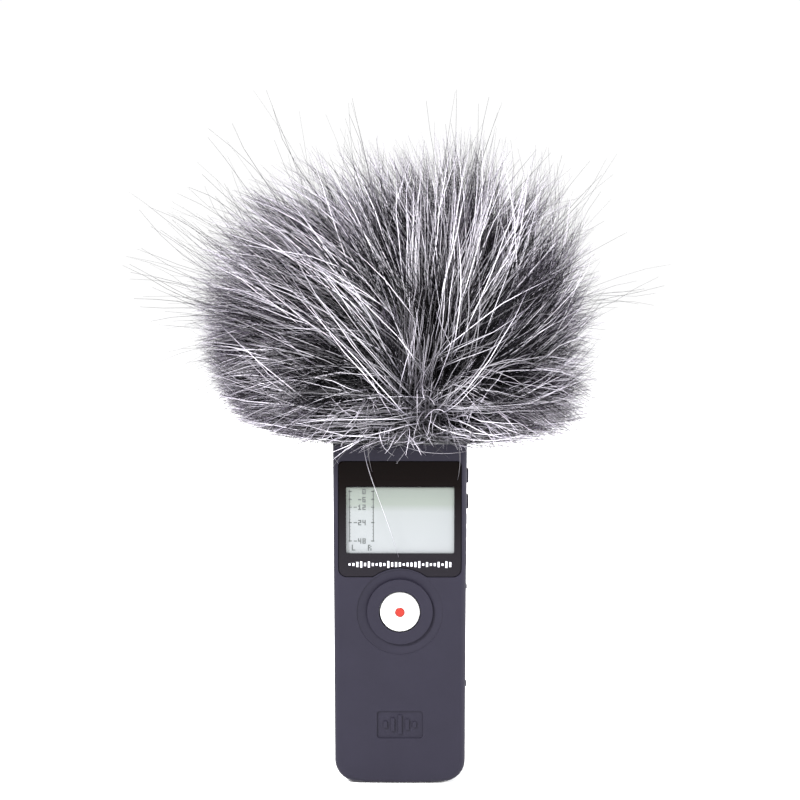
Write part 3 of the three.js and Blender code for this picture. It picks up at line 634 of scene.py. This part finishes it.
def make_backing():
    """The closed cloth that the hairs are rooted in: dark and soft, open round the neck."""
    high = box_mm("windscreen_sleeve")[1]
    neck_x, neck_y = high[0] + 0.9, high[1] + 0.9
    centre, radii = BACKING["centre"], BACKING["radii"]
    sides = 96
    outer = []
    for z in (LOWEST_ROOT - 0.6, LOWEST_ROOT, 119, 122, 126, 130, 134, 138, 141, 144, 146.5, 148.2):
        share = math.sqrt(max(1 - ((z - centre[2]) / radii[2]) ** 2, 0.01))
        outer.append(superellipse(radii[0] * share - 0.4, radii[1] * share - 0.4, z, sides, 3.2))
    inner = [superellipse(neck_x * share, neck_y * share, z, sides, 6)
             for share, z in ((0.5, 141.2), (0.96, 141.0), (1, 140), (1, 118.2))]
    mesh = lined_shell("fur_backing", outer, inner)
    look = grained("fur_backing", (0.006, 0.006, 0.007), 0.95, 1400, 0.0002, 0.3)
    backing = new_piece("fur_backing", mesh, "windscreen", look)
    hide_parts("windscreen_fur")


def unit(v):
    return v / np.maximum(np.linalg.norm(v, axis=-1, keepdims=True), 1e-9)


def reach(directions):
    """Distance from the pile's centre to its outer shape along each direction."""
    radii = np.broadcast_to(PILE["radii"], directions.shape).copy()
    below = directions[:, 2] < 0
    radii[below, 2] = PILE["under"]
    power = PILE["power"]
    turn = np.degrees(np.arctan2(directions[:, 0], directions[:, 2]))
    spread = np.interp(turn, list(SPREAD), list(SPREAD.values()))
    return spread * (np.abs(directions / radii) ** power).sum(axis=1) ** (-1 / power)


def root_directions(rng, count):
    """Directions over the backing, none under its open neck."""
    found = np.zeros((0, 3))
    while len(found) < count:
        d = unit(rng.normal(size=(count * 2, 3)))
        z = BACKING["centre"][2] + BACKING["radii"][2] * d[:, 2]
        found = np.vstack([found, d[z > LOWEST_ROOT]])
    return found[:count]


def comb(rng, directions):
    """Where the hairs rooted there are combed to: up and away from the parting, a few downwards."""
    most_depth, wander = 0.85, 6.5
    roots = BACKING["centre"] + directions * BACKING["radii"]
    count = len(roots)
    sideways = roots[:, 0] - PARTING + rng.normal(size=count) * wander
    rise = 0.8 * (roots[:, 2] - FAN_HEIGHT) + rng.normal(size=count) * wander * 0.8
    side = np.where(sideways < 0, -1, 1)
    sideways = np.where(rise < 3, side * np.maximum(np.abs(sideways), 14), sideways)
    rise = np.maximum(rise, -8)
    fan = unit(np.stack([sideways, rise], axis=1))
    depth = directions[:, 1] * rng.uniform(0.02, 1, count) ** 1.3 * most_depth
    flat = np.sqrt(1 - depth**2)
    return np.stack([fan[:, 0] * flat, depth, fan[:, 1] * flat], axis=1)


def bow(start, middle, tip, steps):
    """Curves of a start, a pull and a tip each, as an array of hairs by points by xyz."""
    s = np.linspace(0, 1, steps + 1)[None, :, None]
    return (1 - s) ** 2 * start[:, None] + 2 * (1 - s) * s * middle[:, None] + s**2 * tip[:, None]


def grow(rng, roots, aims, length, stiffness=0.5, droop=0.05, wave=0.8, steps=6, kink=0.12):
    """Centre lines of hairs, as an array of hairs by points by xyz, in millimetres."""
    centre, radii = BACKING["centre"], BACKING["radii"]
    start = centre + roots * radii
    normal = unit(roots / radii)
    tip = PILE["centre"] + aims * (reach(aims) * length)[:, None]
    span = tip - start
    size = np.linalg.norm(span, axis=1, keepdims=True)
    heading = span / size
    middle = start + size * 0.5 * (normal * stiffness + heading * (1 - stiffness))
    middle += rng.normal(size=middle.shape) * size * 0.055
    line = bow(start, middle, tip, steps)
    s = np.linspace(0, 1, steps + 1)[None, :, None]
    sideways = unit(np.cross(heading, rng.normal(size=heading.shape)))[:, None]
    phase = rng.random((len(roots), 1, 1)) * 2 * np.pi
    turns = rng.uniform(0.4, 1.3, (len(roots), 1, 1))
    line += sideways * np.sin(s * turns * 2 * np.pi + phase) * s * wave * rng.random((len(roots), 1, 1))
    flat = np.sqrt(np.clip(1 - heading[:, 2:3] ** 2, 0, 1))[:, None]
    line[:, :, 2:] += droop * size[:, None] * flat * (1.4 * s * (1 - s) - s**2)
    line[:, 1:] += rng.normal(size=line[:, 1:].shape) * kink
    return line


def hair_mesh(name, rng, line, thick, blunt=0.2, group=None):
    """Tubes along centre lines, with a map: one of the columns across, root to tip upwards."""
    count, points = line.shape[:2]
    steps = points - 1
    tangent = unit(np.gradient(line, axis=1))
    reference = unit(rng.normal(size=(count, 1, 3)))
    side = unit(np.cross(tangent, reference))
    other = np.cross(tangent, side)
    s = np.linspace(0, 1, points)
    taper = np.clip((1 - (1 - blunt) * s**2.2) * (0.7 + 0.3 * np.minimum(s * 5, 1)), 0.07, 1)
    radius = thick[:, None, None] * taper[None, :, None] / 2
    corners = []
    for k in range(3):
        a = 2 * math.pi * k / 3
        corners.append(line + radius * (side * math.cos(a) + other * math.sin(a)))
    verts = np.stack(corners, axis=2).reshape(-1, 3) * MM

    base = (np.arange(count) * points * 3)[:, None, None, None]
    step = (np.arange(steps) * 3)[None, :, None, None]
    k = np.arange(3)
    quad = np.stack([k, (k + 1) % 3, (k + 1) % 3 + 3, k + 3], axis=1)[None, None]
    quads = (base + step + quad).reshape(-1)
    ends = np.array([[2, 1, 0], [steps * 3, steps * 3 + 1, steps * 3 + 2]])[None]
    caps = ((np.arange(count) * points * 3)[:, None, None] + ends).reshape(-1)
    loops = np.concatenate([quads, caps]).astype(np.int32)
    quad_count, cap_count = count * steps * 3, count * 2
    quad_starts, cap_starts = np.arange(quad_count) * 4, quad_count * 4 + np.arange(cap_count) * 3
    starts = np.concatenate([quad_starts, cap_starts]).astype(np.int32)

    mesh = bpy.data.meshes.new(name)
    mesh.vertices.add(len(verts))
    mesh.vertices.foreach_set("co", verts.astype(np.float32).ravel())
    mesh.loops.add(len(loops))
    mesh.loops.foreach_set("vertex_index", loops)
    mesh.polygons.add(quad_count + cap_count)
    mesh.polygons.foreach_set("loop_start", starts)
    mesh.update(calc_edges=True)
    mesh.polygons.foreach_set("use_smooth", np.ones(quad_count + cap_count, bool))

    column = rng.integers(0, COLUMNS, count)
    if group is not None:
        column = np.where(rng.random(count) < 0.7, group % COLUMNS, column)
    left = (column / COLUMNS)[:, None, None, None]
    across = np.array([0.15, 0.85, 0.85, 0.15]) / COLUMNS
    along = np.array([0, 0, 1, 1])
    u = left + np.broadcast_to(across, (count, steps, 3, 4))
    v = (np.arange(steps)[None, :, None, None] + along[None, None, None]) / steps
    v = np.broadcast_to(v, (count, steps, 3, 4))
    quad_map = np.stack([u, v], axis=-1).reshape(-1, 2)
    cap_across = np.array([0.2, 0.8, 0.5]) / COLUMNS
    cap_u = np.broadcast_to((column / COLUMNS)[:, None, None] + cap_across, (count, 2, 3))
    cap_v = np.broadcast_to(np.array([[0.0, 0.0, 0.02], [0.98, 0.98, 1.0]])[None], (count, 2, 3))
    cap_map = np.stack([cap_u, cap_v], axis=-1).reshape(-1, 2)
    layer = mesh.uv_layers.new(name="OFBake")
    whole_map = np.concatenate([quad_map, cap_map]).clip(0.001, 0.999)
    layer.data.foreach_set("uv", whole_map.astype(np.float32).ravel())
    return mesh


def hair_material(name, stops, spread, roughness, gloss=0.4, favour=1.0):
    """Colour from root to tip, differing from hair to hair: the higher the favour, the more dark hairs."""
    s = Shader(name, (0.2, 0.2, 0.2), roughness, Specular_IOR_Level=gloss)
    uv = s.tree.nodes.new("ShaderNodeUVMap")
    uv.uv_map = "OFBake"
    parts = s.node("ShaderNodeSeparateXYZ", Vector=uv.outputs["UV"])
    colour = s.ramp(parts.outputs["Y"], stops)
    column = s.math("FLOOR", s.math("MULTIPLY", parts.outputs["X"], COLUMNS))
    noise = s.tree.nodes.new("ShaderNodeTexWhiteNoise")
    noise.noise_dimensions = "1D"
    s.tree.links.new(column, noise.inputs["W"])
    factor = s.span(s.math("POWER", noise.outputs["Value"], favour), *spread)
    mix = s.tree.nodes.new("ShaderNodeVectorMath")
    mix.operation = "SCALE"
    s.tree.links.new(colour, mix.inputs[0])
    s.tree.links.new(factor, mix.inputs["Scale"])
    s.link(mix.outputs["Vector"], "Base Color")
    return s.material


def add_fur(name, mesh, material):
    return new_piece(name, mesh, "windscreen", material)


def scatter(rng, directions, amount):
    """Directions shaken a little, kept off the open neck."""
    made = unit(directions + rng.normal(size=directions.shape) * amount)
    low = (LOWEST_ROOT - BACKING["centre"][2]) / BACKING["radii"][2]
    made[:, 2] = np.maximum(made[:, 2], low)
    return unit(made)


def tufted(rng, tufts, per_tuft, root_spread, tip_spread):
    """Root and aim directions of hairs gathered in tufts, and the tuft of each."""
    heads = root_directions(rng, tufts)
    aims = comb(rng, heads)
    aims = unit(aims + rng.normal(size=aims.shape) * 0.05)
    tuft = np.repeat(np.arange(tufts), per_tuft)
    roots = scatter(rng, heads[tuft], root_spread)
    spread = unit(aims[tuft] + rng.normal(size=(len(tuft), 3)) * tip_spread)
    return roots, spread, tuft


def keep_inside(line, most=1.0):
    """Shortens hairs that would leave the room that the size of the whole allows, or a share of it."""
    low, high = np.array(CAD_BOX[0]) / MM, np.array(CAD_BOX[1]) / MM
    room = (high - low) * 0.03 + 9.0
    start = line[:, :1]
    move = line - start
    limit = np.where(move > 0, high + room - start, start - (low - room))
    share = (limit / np.maximum(np.abs(move), 1e-6)).min(axis=(1, 2))
    return start + move * np.where(share < 1, share * most, 1)[:, None, None]


def make_underfur(rng):
    """Dense dark underfur, gathered in pointed tufts."""
    look = hair_material("fur_under", [
        (0.0, (0.0015, 0.0015, 0.002)), (0.5, (0.003, 0.0029, 0.0036)), (0.82, (0.005, 0.0045, 0.006)),
        (0.94, (0.013, 0.0112, 0.016)), (1.0, (0.12, 0.104, 0.14))], (0.15, 2.0), 0.6, 0.05)
    pieces, tufts, per_tuft = 6, 250, 24
    for part in range(1, pieces + 1):
        roots, aims, tuft = tufted(rng, tufts, per_tuft, 0.11, 0.035)
        length = rng.uniform(0.66, 1.0, tufts)[tuft] * rng.uniform(0.8, 1.02, len(tuft))
        line = grow(rng, roots, aims, length, 0.4, 0.06, 1.2, 5)
        thick = rng.uniform(0.18, 0.3, len(tuft))
        add_fur(f"fur_under_{part}", hair_mesh(f"fur_under_{part}", rng, line, thick, 0.2, tuft), look)


def make_guard_hairs(rng, look):
    """Long pale guard hairs in narrow locks, and some on their own."""
    pieces, tufts, per_tuft, free_hairs = 5, 190, 9, 240
    for part in range(1, pieces + 1):
        roots, aims, _ = tufted(rng, tufts, per_tuft, 0.06, 0.034)
        free = root_directions(rng, free_hairs)
        roots = np.vstack([roots, free])
        aims = np.vstack([aims, unit(comb(rng, free) + rng.normal(size=free.shape) * 0.11)])
        length = rng.uniform(0.4, 1.0, len(roots)) ** 0.65
        line = keep_inside(grow(rng, roots, aims, length, 0.5, 0.05, 2.5, 8, 0.22))
        thick = rng.uniform(0.2, 0.42, len(roots))
        add_fur(f"fur_guard_{part}", hair_mesh(f"fur_guard_{part}", rng, line, thick), look)


# The fullest pale locks of the front: where each is rooted (x and height), its lean in degrees from upright,
# its number of hairs, its length as a share of the pile, and how far its hairs spread.
LOCKS = [(5, 138, 7, 95, 0.98, 0.03), (4, 134, 5, 60, 0.62, 0.035), (5, 138, -13, 45, 0.98, 0.06),
         (12, 140, 24, 70, 0.97, 0.045), (14, 137, 38, 45, 0.97, 0.06), (6, 139, -28, 30, 0.96, 0.06),
         (17, 133, 55, 30, 0.9, 0.06), (10, 142, 14, 45, 1.0, 0.05), (5, 140, -40, 30, 0.98, 0.06)]


def make_locks(rng, look):
    centre, radii = BACKING["centre"], BACKING["radii"]
    lines = []
    for x, height, lean, number, length, spread in LOCKS:
        head = unit(np.array([x / radii[0], -0.85, (height - centre[2]) / radii[2]]))
        roots = scatter(rng, np.repeat(head[None], number, axis=0), 0.06)
        lean = math.radians(lean)
        aim = np.array([math.sin(lean) * 0.92, -0.3, math.cos(lean) * 0.92])
        aims = unit(aim + rng.normal(size=(number, 3)) * spread)
        lines.append(grow(rng, roots, aims, length * rng.uniform(0.5, 1.0, number), 0.45, 0.05, 2.5, 8, 0.2))
    line = keep_inside(np.vstack(lines))
    add_fur("fur_locks", hair_mesh("fur_locks", rng, line, rng.uniform(0.2, 0.38, len(line))), look)


def make_tangle(rng):
    """Tangled shorter hairs over the middle of the front that lean out to both sides, and some that rise."""
    count, rising = 520, 80
    across = np.clip(rng.normal(size=count) * 16 + 3, -22, 26)
    start = np.column_stack([across, np.full(count, -24.5), rng.uniform(117, 139, count)])
    lean = (start[:, 0] - 4) * rng.uniform(0.2, 1.0, count) + rng.normal(size=count) * 8
    tip = start + np.column_stack([lean, -rng.uniform(3, 15, count), rng.uniform(-18, 19, count)])
    start[:rising, 0] = rng.normal(size=rising) * 2.5 + 3
    start[:rising, 1] = -26.0
    start[:rising, 2] = rng.uniform(121, 134, rising)
    climb = [rng.normal(size=rising) * 4 + 3, -rng.uniform(9, 16, rising), rng.uniform(18, 38, rising)]
    tip[:rising] = start[:rising] + np.column_stack(climb)
    tip[:, 2] = np.maximum(tip[:, 2], rng.uniform(112, 118, count))
    middle = (start + tip) / 2 + rng.normal(size=(count, 3)) * 2 + [0, -7, 2]
    line = bow(start, middle, tip, 7)
    line[:, 1:] += rng.normal(size=line[:, 1:].shape) * 0.12
    line = keep_inside(line)
    look = hair_material("fur_tangle", [
        (0.0, (0.01, 0.01, 0.012)), (0.35, (0.3, 0.28, 0.33)), (1.0, (0.6, 0.57, 0.64))],
        (0.02, 1.6), 0.4, 0.2, 2.0)
    add_fur("fur_tangle", hair_mesh("fur_tangle", rng, line, rng.uniform(0.16, 0.32, count), 0.3), look)


# Groups of wisps past the pile: lean in degrees from upright, how far it varies, and the group's share.
WISPS = [(-50, 13, 0.52), (-86, 10, 0.17), (-10, 12, 0.12), (25, 9, 0.07), (68, 14, 0.12)]


def make_wisps(rng):
    """Wisps that stand out past the pile, most of them up and to the left."""
    count, per_wisp = 70, 4
    means, ranges, shares = (np.array(column) for column in zip(*WISPS))
    group = rng.choice(len(WISPS), count, p=shares)
    lean = np.radians(means[group] + rng.normal(size=count) * ranges[group])
    depth = rng.uniform(-0.35, 0.35, count)
    flat = np.sqrt(1 - depth**2)
    heads = unit(np.stack([np.sin(lean) * 0.7, rng.uniform(-0.7, 0.7, count), np.full(count, 0.45)], axis=1))
    aims = np.stack([np.sin(lean) * flat, depth, np.cos(lean) * flat], axis=1)
    wisp = np.repeat(np.arange(count), per_wisp)
    roots = scatter(rng, heads[wisp], 0.06)
    aims = unit(aims[wisp] + rng.normal(size=(len(wisp), 3)) * 0.035)
    length = rng.uniform(0.98, 1.3, count)[wisp] * rng.uniform(0.82, 1.05, len(wisp))
    line = keep_inside(grow(rng, roots, aims, length, 0.4, 0.03, 5.0, 9), rng.uniform(0.8, 1, len(wisp)))
    look = hair_material("fur_stray", [
        (0.0, (0.02, 0.02, 0.024)), (0.3, (0.2, 0.19, 0.22)), (0.6, (0.05, 0.047, 0.056)),
        (1.0, (0.02, 0.018, 0.022))], (0.3, 1.6), 0.45)
    add_fur("fur_stray", hair_mesh("fur_stray", rng, line, rng.uniform(0.15, 0.3, len(roots)), 0.3), look)


def make_skirt(rng):
    """Short loose hairs round the neck, over the cuff and the top of the case."""
    count = 1300
    around = rng.uniform(0, 2 * math.pi, count)
    ring = np.stack([np.cos(around), np.sin(around)], axis=1)
    start = np.column_stack([ring * [26.3, 21.6], rng.uniform(116.4, 123, count)])
    out, down = rng.uniform(1.5, 10, count), rng.uniform(0.5, 6, count) * rng.uniform(0.2, 1.6, count) ** 2
    down *= np.where(ring[:, 1] < -0.5, 0.7, 1)
    along = np.stack([-ring[:, 1], ring[:, 0]], axis=1) * rng.normal(size=(count, 1)) * 8
    tip = start + np.column_stack([ring * out[:, None] + along, -down])
    # A tip that would end inside the case stays above it.
    clear = (np.abs(tip[:, 1]) > 18.4) | (np.abs(tip[:, 0]) > 24.6)
    tip[~clear, 2] = 116
    pull = np.column_stack([ring * rng.uniform(2, 8, (count, 1)), rng.uniform(-1, 3, count)])
    line = bow(start, (start + tip) / 2 + pull, tip, 5)
    mesh = hair_mesh("fur_skirt", rng, line, rng.uniform(0.14, 0.26, count))
    look = hair_material("fur_skirt", [
        (0.0, (0.006, 0.006, 0.007)), (0.4, (0.03, 0.03, 0.034)), (1.0, (0.4, 0.39, 0.43))],
        (0.03, 1.6), 0.4, 0.2, 2.0)
    add_fur("fur_skirt", mesh, look)


# Long hairs that have fallen over the case, the first across the display: root, two pulls, tip, thickness.
FALLEN = [
    ((-11.5, -27.0, 118.0), (-12.5, -24.0, 108.0), (-6.0, -18.0, 96.0), (-0.4, -16.9, 76.3), 0.24),
    ((-6.0, -26.0, 120.0), (-12.0, -29.0, 118.0), (-19.0, -23.0, 112.0), (-22.6, -18.0, 104.5), 0.34),
    ((-2.0, -26.0, 119.0), (-10.0, -30.0, 119.0), (-17.0, -25.0, 113.5), (-23.0, -18.6, 107.5), 0.34),
    ((-9.0, -26.0, 118.0), (-13.0, -29.0, 116.0), (-18.0, -26.0, 113.5), (-25.0, -20.0, 110.0), 0.3),
    ((-10.5, -25.5, 119.0), (-10.0, -27.0, 114.0), (-10.5, -21.0, 110.0), (-9.0, -17.6, 104.5), 0.36),
    ((-3.0, -25.0, 117.0), (2.0, -25.0, 111.5), (14.0, -20.0, 110.0), (22.0, -18.5, 111.5), 0.16),
    ((4.0, -25.0, 118.0), (5.0, -27.0, 114.0), (7.0, -21.0, 112.0), (8.5, -18.0, 110.0), 0.3),
    ((18.0, -25.0, 118.0), (19.5, -25.0, 114.0), (20.0, -21.0, 109.0), (18.8, -18.0, 102.0), 0.2),
]


def make_fallen_hairs(rng, look):
    s = np.linspace(0, 1, 17)[:, None]
    lines = []
    for *points, _ in FALLEN:
        a, b, c, d = np.array(points)
        lines.append((1 - s) ** 3 * a + 3 * (1 - s) ** 2 * s * b + 3 * (1 - s) * s**2 * c + s**3 * d)
    thick = np.array([hair[-1] for hair in FALLEN])
    add_fur("fur_fallen_hairs", hair_mesh("fur_fallen_hairs", rng, np.array(lines), thick, 0.4), look)


def make_fur():
    rng = np.random.default_rng(20)
    guard_look = hair_material("fur_guard", [
        (0.0, (0.006, 0.006, 0.008)), (0.1, (0.03, 0.028, 0.036)), (0.3, (0.4, 0.38, 0.45)),
        (0.5, (0.94, 0.91, 0.99)), (0.82, (0.9, 0.86, 0.96)), (1.0, (0.3, 0.27, 0.34))],
        (0.03, 1.12), 0.35, 0.3, 1.65)
    make_underfur(rng)
    make_guard_hairs(rng, guard_look)
    make_locks(rng, guard_look)
    make_tangle(rng)
    make_wisps(rng)
    make_skirt(rng)
    make_fallen_hairs(rng, guard_look)


# ---- Everything ----
# Nodes with their own pieces above, and how far the other nodes' edges are rounded, in millimetres.
REBUILT = {"display_lens", "lcd_glass", "windscreen_cuff", "windscreen_sleeve", "windscreen_fur"}
EDGE = {"front_shell": 0.12, "rear_shell": 0.12, "mic_cage": 0.3, "record_button": 0.0, "record_dot": 0.0,
        "negative_spring": 0.0, "display_ribbon": 0.05, "card_door_pin": 0.05}

make_camera()
make_light()
MATERIALS = make_materials()
make_floor()
make_display()
make_cuff()
make_sleeve()
make_backing()
make_fur()
for node in frame["nodes"]:
    if node not in REBUILT:
        refine(node, EDGE.get(node, 0.15))
